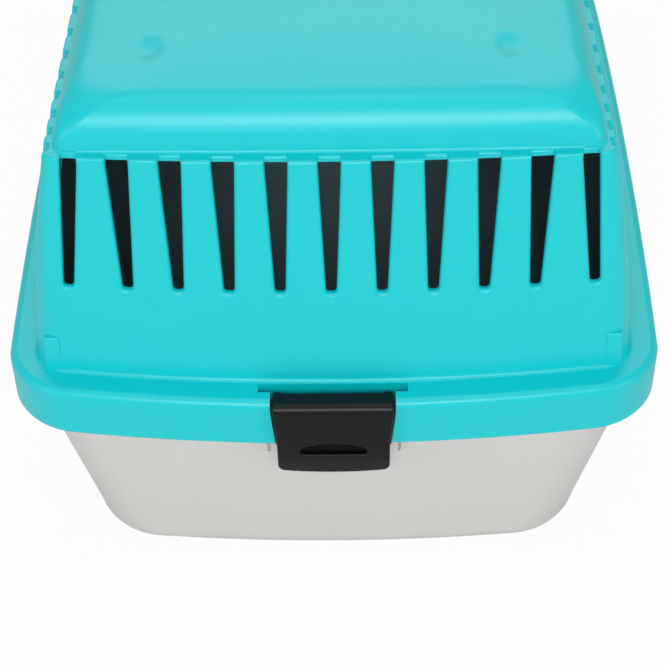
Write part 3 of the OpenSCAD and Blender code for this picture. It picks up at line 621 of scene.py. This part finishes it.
floor_turns = (0, 11.25, 22.5, 33.75, 45, 56.25, 67.5, 78.75, 90)
tub_in = [np.array([seat_z, 10.9, 10.9, 7.6, 25.4, *RIM_BOWS])]
tub_in += [tub_curve(a, wall) for a in floor_turns]
tub_out = [inset(seat_z, lip_in, 27.9), inset(lip_z, lip_in, 27.9), TUB_TOP]
tub_out += [tub_curve(a, 0) for a in floor_turns]
tub_out = eased(tub_out, [0, 0.8, 0.8] + [0] * len(floor_turns))
tub = as_object("lower_shell_skin", loft([ring(level) for level in tub_in[::-1] + tub_out]))
# The tub's inner faces get the painted shade as well.
mark_inner(tub, len(tub_in), 4 * RING_PART)


def tub_wall(z, top, lean):
    """How far in the tub's wall lies behind the skirt's face."""
    return top + lean * (lip_z - z) / (lip_z - floor_r)


def clip_catch(top, lean):
    """The catch bar and the two ribs of a clip."""
    def back(z):
        return tub_wall(z, top, lean) + wall / 2
    bar = block((-23.6, 1.2, 100.1), (23.6, back(100.1), 103.1))
    outline = [(6, 92.1), (back(92.1), 92.1), (back(114.5), 114.5), (6, 114.5)]
    outline = rounded(outline, [0.8, 0.1, 0.1, 0.8])
    return joined([bar] + [prism(outline, 1, 2, s * 32.6 - 0.5, s * 32.6 + 0.5) for s in (-1, 1)])


def slits(top, lean):
    """Two slits beside the ribs, cut 2 mm deep where the wall doesn't bow."""
    (y0, y1), (z0, z1) = (tub_wall(z, top, lean) + 2 for z in SLIT), SLIT
    outline = [(4, z0), (y0, z0), (y1, z1), (4, z1)]
    return joined([prism(outline, 1, 2, s * 31.4 - 0.6, s * 31.4 + 0.6) for s in (-1, 1)])


weld(tub, frame_block(door_z - frame_t, seat_z, 1, 0))
carve(tub, doorway())
for name, where in CLIPS.items():
    top, lean = (8.3, 14.5) if name == "rear_clip" else (5.0, 26.0)
    weld(tub, placed(clip_catch(top, lean), **where))
    carve(tub, placed(slits(top, lean), **where))
weld(tub, door_stop(door_z, seat_z))
for opening in (hinge_bore, keeper):
    carve(tub, opening(door_z - frame_t - 1, door_z + 1))
carve(tub, at_clips(block((-37.9, -1, 115), (37.9, 20.1, rim_z))))
# The floor inside gets the painted shade too.
for face in tub.data.polygons:           # the floor inside is dark too
    if face.normal.z > 0.9 and face.center.z < 3.5 * MM:
        face.material_index = 1
smoothed(tub)
print("tub:", len(tub.data.polygons), "faces")

# %% [markdown]
# The black clip in the photograph is a plate of even thickness: flat on the
# rim, round the rim's edge, and down over the skirt. It is a loft along that
# bent path, and its cross-section is a flat bar with rounded edges. Where the
# path ends, the section shrinks along a quarter circle, which rounds the
# plate's corners, and the lower edge arches a little. The blind finger recess,
# the tooth and the hinge knuckles with their pins are added afterwards, and a
# black rib behind each side edge: the notch beside the clip is dark with shade,
# and the rib is a dark piece put there to stand in for that shade. The recess
# gets a material slot of its own: its faces are matt, and a darker black is
# painted on them as the shade inside the hollow.

# %% The clip
clip_t, clip_bottom = 2.8, 85.7


def clip_path():
    """Stations along the clip: the outer face's place in Y and Z, and its outward normal."""
    rows = [((y, rim_z), (0, 1)) for y in np.linspace(8.0, 1.5, 12)]
    for a in np.radians(np.linspace(0, 90, 13)):
        rows.append(((1.5 - edge_r * math.sin(a), rim_z - edge_r * (1 - math.cos(a))),
                     (-math.sin(a), math.cos(a))))
    heights = list(np.linspace(rim_z - edge_r - 1, clip_bottom + 4, 22))
    heights += list(np.linspace(clip_bottom + 3.2, clip_bottom, 16))
    return rows + [((-3, z), (-1, 0)) for z in heights]


def clip_section(half, thick, soft=0.9):
    """The plate's cross-section. Its long faces have points for the arch of the lower edge."""
    corners = [(-half, -thick), (half, -thick), (half, 0), (-half, 0)]
    soft = min(soft, thick / 2 - 0.01)
    bar, points = rounded(corners, [soft] * 4, steps=5), []
    for a, b in zip(bar, np.roll(bar, -1, axis=0)):
        parts = 12 if abs(b[0] - a[0]) > 10 else 1
        points += [a + (b - a) * k / parts for k in range(parts)]
    return np.array(points)


def clip_plate():
    """The plate, whose last 16 mm curve inwards and arch upwards at the sides."""
    rows, rings = clip_path(), []
    places = np.array([row[0] for row in rows])
    run = np.r_[0, np.cumsum(np.linalg.norm(np.diff(places, axis=0), axis=1))]
    for (place, normal), far in zip(rows, run):
        half = clip_side(place[1])
        thin = 0.0
        for gap, corner in ((far, 1.6), (run[-1] - far, 3.8)):
            if gap < corner:
                half -= corner - math.sqrt(max(0, corner ** 2 - (corner - gap) ** 2))
            if gap < 0.8:
                thin = 0.8 - math.sqrt(max(0, 0.64 - (0.8 - gap) ** 2))
        section = clip_section(half, clip_t - 2 * thin)
        out = section[:, 1] - thin
        low = max(0, 1 - (run[-1] - far) / 16)
        arch, bend = 1.8 * low * (section[:, 0] / clip_low) ** 2, 1.5 * low ** 2
        rings.append(np.c_[section[:, 0], place[0] + normal[0] * out + bend,
                           place[1] + normal[1] * out + arch])
    return loft(rings)


recess_arc = [(x, 106.7 - 2.6 * (x / 14.2) ** 2) for x in np.linspace(14.2, -14.2, 23)]
recess = [(-14.2, 99.4), (14.2, 99.4), (15.2, 99.9), (15.8, 101.0), (15.7, 102.3), (15.1, 103.3)]
recess += recess_arc + [(-15.1, 103.3), (-15.7, 102.3), (-15.8, 101.0), (-15.2, 99.9)]


def recess_cutter():
    """The recess is 2 mm deep, and its rim is rounded towards the outer face."""
    centre, rings = np.array([0, 103.2]), []
    for grow, y in ((0.6, -4), (0.6, -3), (0.25, -2.85), (0.05, -2.6), (0.0, -2.3), (0.0, -1.0)):
        outline = centre + (np.array(recess) - centre) * np.array([1 + grow / 16, 1 + grow / 4])
        rings.append(facing(outline, 0, 2, y))
    return loft(rings)


def flange():
    """A black rib behind the plate's right edge, in the notch beside it, a dark piece standing in for
    the shade there.
    """
    rings = []
    for z in np.linspace(103, 127.5, 14):
        near, far = clip_side(z, -0.8), clip_side(z, 0.8)
        rings.append(np.array([(near, -0.5, z), (far, 0.9, z), (far, 6, z), (near, 6, z)]))
    return loft(rings)


tooth = [(-0.6, 99.6), (4.0, 99.1), (4.0, 97.8), (-0.6, 94.6)]
clip = as_object("rear_clip_skin", clip_plate())
for name in ("outer", "hollow"):
    clip.data.materials.append(bpy.data.materials.new(name + " marker"))
carve(clip, recess_cutter())
weld(clip, prism(tooth[::-1], 1, 2, -15.8, 15.8))
for s in (-1, 1):
    weld(clip, prism(circle((5.5, 126), 3), 1, 2, s * 25.1 - 3, s * 25.1 + 3))
    weld(clip, block((s * 25.1 - 3, 2.5, 126), (s * 25.1 + 3, 6.9, 129.4)))
    weld(clip, prism(circle((5.5, 126), 1.8), 1, 2, s * 30.35 - 2.25, s * 30.35 + 2.25))
    weld(clip, block((s * 26.2 - 1.7, 6, 127.8), (s * 26.2 + 1.7, 8.7, 129.7)))
    weld(clip, placed(flange(), flip=(s, 1, 1)))
smoothed(clip, 40)
# The recess faces get the darker black, painted shade for the hollow.
for face in clip.data.polygons:
    x, y, z = face.center / MM
    face.material_index = int(-2.7 < y < -0.9 and abs(x) < 15.9 and 99 < z < 107.2)
print("clip:", len(clip.data.polygons), "faces")

# %% [markdown]
# The three clips of the real carrier come from one mould, so each is a copy
# of the same mesh. The turn and the move go into the mesh itself, because a
# piece that rides a body starts from the origin.

# %% Three copies of the clip
def copy_of(item, name, turn, move):
    """A copy of an object, turned and moved in its mesh, so that it sits at the origin."""
    twin = bpy.data.objects.new(name, item.data.copy())
    bpy.context.scene.collection.objects.link(twin)
    turned = Matrix.Rotation(math.radians(turn), 4, "Z")
    twin.data.transform(Matrix.Translation(Vector(move) * MM) @ turned)
    return twin


clips = {name: copy_of(clip, name + "_skin_", **where) for name, where in CLIPS.items()}
bpy.data.objects.remove(clip)
for name, item in clips.items():
    item.name = name + "_skin"
print("clips made:", [item.name for item in clips.values()])

# %% [markdown]
# The door leaf, the latch and the handle already have the right shape as
# solids; only their edges are too sharp for moulded plastic. A copy of each
# mesh is welded and cleaned of flat edges, and a bevel by angle rounds the
# edges that are left. That is quicker than modelling them again, and it keeps
# every fit exactly where the solids have it.

# %% Softened copies of the remaining solids
def softened(node, width, segments=3, angle=30):
    """A copy of a solid's mesh with rounded edges, width in millimetres."""
    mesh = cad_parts[node].data.copy()
    item = bpy.data.objects.new(node + "_skin", mesh)
    bpy.context.scene.collection.objects.link(item)
    work = bmesh.new()
    work.from_mesh(mesh)
    bmesh.ops.remove_doubles(work, verts=work.verts, dist=1e-6)
    bmesh.ops.dissolve_limit(work, angle_limit=math.radians(0.5), verts=work.verts, edges=work.edges)
    work.to_mesh(mesh)
    work.free()
    mesh.materials.clear()
    soft = item.modifiers.new("soft edges", "BEVEL")
    soft.width, soft.segments = width * MM, segments
    soft.limit_method, soft.angle_limit = "ANGLE", math.radians(angle)
    soft.use_clamp_overlap = True
    baked(item)
    return smoothed(item, 40)


soft_pieces = {node: softened(node, width) for node, width in
               (("door_leaf", 0.6), ("latch_cover", 0.5), ("upper_bolt", 0.4),
                ("lower_bolt", 0.4), ("carry_handle", 1.5))}
for node, item in soft_pieces.items():
    print(node, len(item.data.polygons), "faces")

# %% [markdown]
# The springs of the latch are wound wire. A round tube along a helix, with
# enough rings that the turns look round, replaces the coarse coils.

# %% Springs
def coil(z0, z1, turns=4, radius=1.4, wire=0.4, per_turn=40, sides=12):
    """A coil spring between two heights, with short straight ends."""
    lead = math.copysign(1.2, z1 - z0)
    steps = turns * per_turn
    path = [(radius, 0.0, z0)]
    for i in range(steps + 1):
        a = 2 * math.pi * i / per_turn
        path.append((radius * math.cos(a), radius * math.sin(a),
                     z0 + lead + (z1 - z0 - 2 * lead) * i / steps))
    path.append((radius, 0.0, z1))
    path = np.array(path)
    rings = []
    for i, point in enumerate(path):
        ahead = path[min(i + 1, len(path) - 1)] - path[max(i - 1, 0)]
        if i in (0, len(path) - 1):
            ahead = np.array([0, 0, z1 - z0])
        ahead = ahead / np.linalg.norm(ahead)
        out = np.array([point[0], point[1], 0]) / radius
        across = np.cross(ahead, out)
        across = across / np.linalg.norm(across)
        up = np.cross(across, ahead)
        turn = np.linspace(0, 2 * np.pi, sides, endpoint=False)[:, None]
        rings.append(point + wire * (np.cos(turn) * up + np.sin(turn) * across))
    points, faces = loft(rings)
    return points + np.array([bolt_x, 234.3, 0]), faces


springs = {"upper_spring": as_object("upper_spring_skin", coil(136.5, 144)),
           "lower_spring": as_object("lower_spring_skin", coil(133.5, 126))}
for item in springs.values():
    smoothed(item, 60)
print("springs:", [len(item.data.polygons) for item in springs.values()])

# %% [markdown]
# Each new piece now rides the body it moves with, and the solid it stands for
# is hidden. The solids stay in the physics model and are only hidden here.

# %% Hand the pieces to their bodies
def stands_for(item, node, body):
    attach(item, body)
    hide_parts(node)


stands_for(upper, "upper_shell", "shells")
stands_for(tub, "lower_shell", "shells")
for name, item in clips.items():
    stands_for(item, name, name)
stands_for(soft_pieces["door_leaf"], "door_leaf", "door")
stands_for(soft_pieces["latch_cover"], "latch_cover", "door")
stands_for(soft_pieces["upper_bolt"], "upper_bolt", "upper_bolt")
stands_for(soft_pieces["lower_bolt"], "lower_bolt", "lower_bolt")
stands_for(soft_pieces["carry_handle"], "carry_handle", "handle")
for name, item in springs.items():
    stands_for(item, name, "door")
print("pieces:", len(clips) + len(soft_pieces) + len(springs) + 2)

# %% [markdown]
# Shader maths reads best as ordinary arithmetic. This small class wraps an
# output socket, and each operator adds one Math node, so 1 - mask works as it
# does in Python. Every other node comes from one method, which sets the
# node's own options first and then feeds its inputs.

# %% Shader arithmetic
class Value:
    """An output socket that can be added, multiplied and so on."""

    def __init__(self, finish, socket):
        self.finish, self.socket = finish, socket

    def math(self, operation, first, second):
        return self.finish.node("Math", {"operation": operation}, {0: first, 1: second})

    def __add__(self, other):
        return self.math("ADD", self, other)

    def __sub__(self, other):
        return self.math("SUBTRACT", self, other)

    def __rsub__(self, other):
        return self.math("SUBTRACT", other, self)

    def __mul__(self, other):
        return self.math("MULTIPLY", self, other)

    __radd__, __rmul__ = __add__, __mul__


class Finish:
    """A procedural material or world, built node by node."""

    def __init__(self, owner):
        owner.use_nodes = True
        self.owner, self.tree = owner, owner.node_tree
        self.tree.nodes.clear()

    def node(self, kind, settings=None, sockets=None, out=0):
        made = self.tree.nodes.new("ShaderNode" + kind)
        for key, value in (settings or {}).items():
            if key == "stops":
                points = made.color_ramp.elements
                while len(points) < len(value):
                    points.new(0.5)
                for point, (place, colour) in zip(points, value):
                    point.position, point.color = place, (*colour, 1)
            else:
                setattr(made, key, value)
        for key, value in (sockets or {}).items():
            if isinstance(value, Value):
                self.tree.links.new(value.socket, made.inputs[key])
            else:
                made.inputs[key].default_value = value
        return Value(self, made.outputs[out]) if made.outputs else None


def noise(finish, scale, detail=3.0, rough=0.5):
    """Noise over the piece's own coordinates, as a value around 0.5."""
    place = finish.node("TexCoord", out=3)
    return finish.node("TexNoise", {}, {"Vector": place, "Scale": scale, "Detail": detail,
                                        "Roughness": rough})


def tinted(finish, colour, mask, amount):
    """A colour that varies in lightness with a mask."""
    dark = [c * (1 - amount) for c in colour] + [1]
    light = [min(1, c * (1 + amount)) for c in colour] + [1]
    return finish.node("Mix", {"data_type": "RGBA"}, {0: mask, 6: dark, 7: light}, out=2)


print("operators ready")

# %% [markdown]
# All the plastic here is moulded with a fine, slightly uneven satin texture.
# One function covers it: a colour that drifts a little over centimetres, a
# roughness that drifts with it, and two bumps, the mould's fine grain and the
# slow waviness that thin walls have. The values differ from piece to piece.

# %% Moulded plastic
def moulded(name, colour, rough, grain=0.012, specular=0.5, drift=0.02, wave=0.02):
    """A satin plastic. Grain and wave are bump heights in millimetres."""
    finish = Finish(bpy.data.materials.new(name))
    cloud, fine, slow = noise(finish, 18), noise(finish, 1400, 2), noise(finish, 25, 1)
    bump = finish.node("Bump", {}, {"Strength": 1.0, "Distance": wave * MM, "Height": slow})
    bump = finish.node("Bump", {}, {"Strength": 1.0, "Distance": grain * MM, "Height": fine,
                                    "Normal": bump})
    shader = finish.node("BsdfPrincipled", {}, {
        "Base Color": tinted(finish, colour, cloud, drift),
        "Roughness": rough - 0.04 + cloud * 0.08,
        "Specular IOR Level": specular, "Normal": bump})
    finish.node("OutputMaterial", {}, {"Surface": shader})
    return finish.owner


turquoise = moulded("turquoise plastic", (0.0, 0.585, 0.625), 0.36, specular=0.45)
# The near-black of the inside is painted shade, standing in for the dark behind the vents.
painted_shade_inside = moulded("dark inside", (0.13, 0.21, 0.23), 0.5, specular=0.1, wave=0.3)
light_grey = moulded("light grey plastic", (0.64, 0.645, 0.62), 0.45, specular=0.3)
black = moulded("black plastic", (0.003, 0.0033, 0.0042), 0.33, grain=0.02, specular=0.22)
# Matt, and darker and less glossy than the clip's black: painted shade for the finger recess.
matt_painted_shade_black = moulded("matt black plastic", (0.002, 0.0022, 0.0025), 0.6, grain=0.02, specular=0.1)
door_grey = moulded("door plastic", (0.62, 0.62, 0.60), 0.42)
handle_grey = moulded("handle plastic", (0.60, 0.60, 0.58), 0.42)
print("plastics:", [m.name for m in (turquoise, painted_shade_inside, light_grey, black, door_grey)])

# %% [markdown]
# The springs are drawn steel wire: a metal with fine streaks along the wire.
# Brightness differences in steel come from its roughness more than from its
# colour, so a stretched noise feeds the roughness.

# %% Spring steel
def drawn_steel():
    finish = Finish(bpy.data.materials.new("spring steel"))
    place = finish.node("TexCoord", out=3)
    stretched = finish.node("VectorMath", {"operation": "MULTIPLY"},
                            {0: place, 1: (9000, 9000, 600)})
    streaks = finish.node("TexNoise", {}, {"Vector": stretched, "Scale": 1.0, "Detail": 2.0})
    shader = finish.node("BsdfPrincipled", {}, {
        "Base Color": tinted(finish, (0.55, 0.56, 0.58), streaks, 0.06), "Metallic": 1.0,
        "Roughness": 0.22 + streaks * 0.16,
        "Normal": finish.node("Bump", {}, {"Strength": 1.0, "Distance": 0.004 * MM,
                                           "Height": streaks})})
    finish.node("OutputMaterial", {}, {"Surface": shader})
    return finish.owner


steel = drawn_steel()


def dressed(item, *materials):
    """Puts materials into an object's slots, in order."""
    while len(item.data.materials) < len(materials):
        item.data.materials.append(None)
    for slot, material in enumerate(materials):
        item.data.materials[slot] = material


dressed(upper, turquoise, painted_shade_inside)
dressed(tub, light_grey, painted_shade_inside)
for item in clips.values():
    dressed(item, black, matt_painted_shade_black)
for item in (soft_pieces["latch_cover"], soft_pieces["upper_bolt"], soft_pieces["lower_bolt"]):
    dressed(item, black)
dressed(soft_pieces["door_leaf"], door_grey)
dressed(soft_pieces["carry_handle"], handle_grey)
for item in springs.values():
    dressed(item, steel)
for marker in [m for m in bpy.data.materials if m.name.endswith("marker")]:
    bpy.data.materials.remove(marker)
print("materials in use:", sorted(m.name for m in bpy.data.materials if m.users))

# %% [markdown]
# The photograph stands on plain white. A wide floor keeps the carrier's soft
# shadow; most of what the camera sees of it is plain white, so the shadow is
# there but light. The world is white to the camera, grey in reflections and
# darker as a light. The rest of the light comes from softboxes. The one in
# front stands where the rounded shoulder mirrors it to the camera, the one
# behind where the roof does, one hangs overhead, and a low one at each side
# draws the pale lines along the slots and the wall's corners.

# %% Floor, world and lamps
def studio_floor():
    finish = Finish(bpy.data.materials.new("studio floor"))
    grain = noise(finish, 60)
    paper = finish.node("BsdfPrincipled", {}, {
        "Base Color": tinted(finish, (0.8, 0.8, 0.8), grain, 0.01), "Roughness": 0.9,
        "Specular IOR Level": 0.1})
    white = finish.node("Emission", {}, {"Color": (1, 1, 1, 1), "Strength": 1.0})
    seen = finish.node("LightPath")
    finish.node("OutputMaterial", {}, {"Surface": finish.node(
        "MixShader", {}, {0: seen * 0.94, 1: paper, 2: white})})
    return finish.owner


size = 6000
floor = as_object("studio_floor", block((-size, -size, -20), (size, size, -0.02)))
dressed(floor, studio_floor())

world = bpy.data.worlds.new("studio")
bpy.context.scene.world = world
sky = Finish(world)
to_camera, glossy, through = (sky.node("LightPath", out=i) for i in (0, 3, 6))
DAYLIGHT, MIRRORED = 0.32, 0.35          # the world as a light, and the share added in reflections
white_share = to_camera + through + glossy * MIRRORED
sky.node("OutputWorld", {}, {"Surface": sky.node("Background", {}, {
    "Color": (1, 1, 1, 1), "Strength": DAYLIGHT + white_share * (1 - DAYLIGHT)})})


def lamp(name, place, target, size, power):
    light = bpy.data.lights.new(name, "AREA")
    light.shape, light.size, light.size_y, light.energy = "RECTANGLE", *size, power
    item = bpy.data.objects.new(name, light)
    bpy.context.scene.collection.objects.link(item)
    item.location = place
    item.rotation_euler = (Vector(target) - Vector(place)).to_track_quat("-Z", "Y").to_euler()
    return item


lamp("back softbox", (0.0, 1.9, 1.9), (0, 0, 0.2), (2.4, 1.4), 18)
lamp("front softbox", (0.0, -1.76, 1.32), (0, 0, 0.2), (1.2, 0.55), 20)
lamp("top softbox", (0.0, -0.2, 2.2), (0, -0.1, 0.2), (1.2, 1.2), 6)
for side in (-1, 1):
    lamp("side softbox", (1.5 * side, -1.1, 0.6), (0, -0.1, 0.15), (0.5, 1.0), 4)

# %% [markdown]
# The camera was found by fitting the rim, the ledges, the slots and the clip
# of the model to their places in the photograph. It stands about a metre
# away and looks down by 42.6 degrees, turned and tilted by about one degree.

# %% Camera
def photo_camera(place, pitch, yaw, roll, focal_px, frame_px=665):
    p, y, r = (math.radians(a) for a in (pitch, yaw, roll))
    ahead = Vector((math.sin(y) * math.cos(p), math.cos(y) * math.cos(p), -math.sin(p)))
    right = Vector((math.cos(y), -math.sin(y), 0))
    up = right.cross(ahead)
    across = right * math.cos(r) + up * math.sin(r)
    tall = up * math.cos(r) - right * math.sin(r)
    lens = bpy.data.cameras.new("photo camera")
    lens.sensor_width, lens.sensor_fit = 36, "HORIZONTAL"
    lens.lens = 36 * focal_px / frame_px
    lens.clip_start, lens.clip_end = 0.02, 50
    item = bpy.data.objects.new("photo camera", lens)
    bpy.context.scene.collection.objects.link(item)
    turn = Matrix((across, tall, -ahead)).transposed().to_4x4()
    item.matrix_world = Matrix.Translation(Vector(place) * MM) @ turn
    return item


camera = photo_camera((10.83, -797.38, 688.36), 42.625, -1.053, -1.19, 1709.5)
bpy.context.scene.camera = camera
bpy.context.scene.view_settings.view_transform = "Standard"
print("lens:", round(camera.data.lens, 2), "mm")
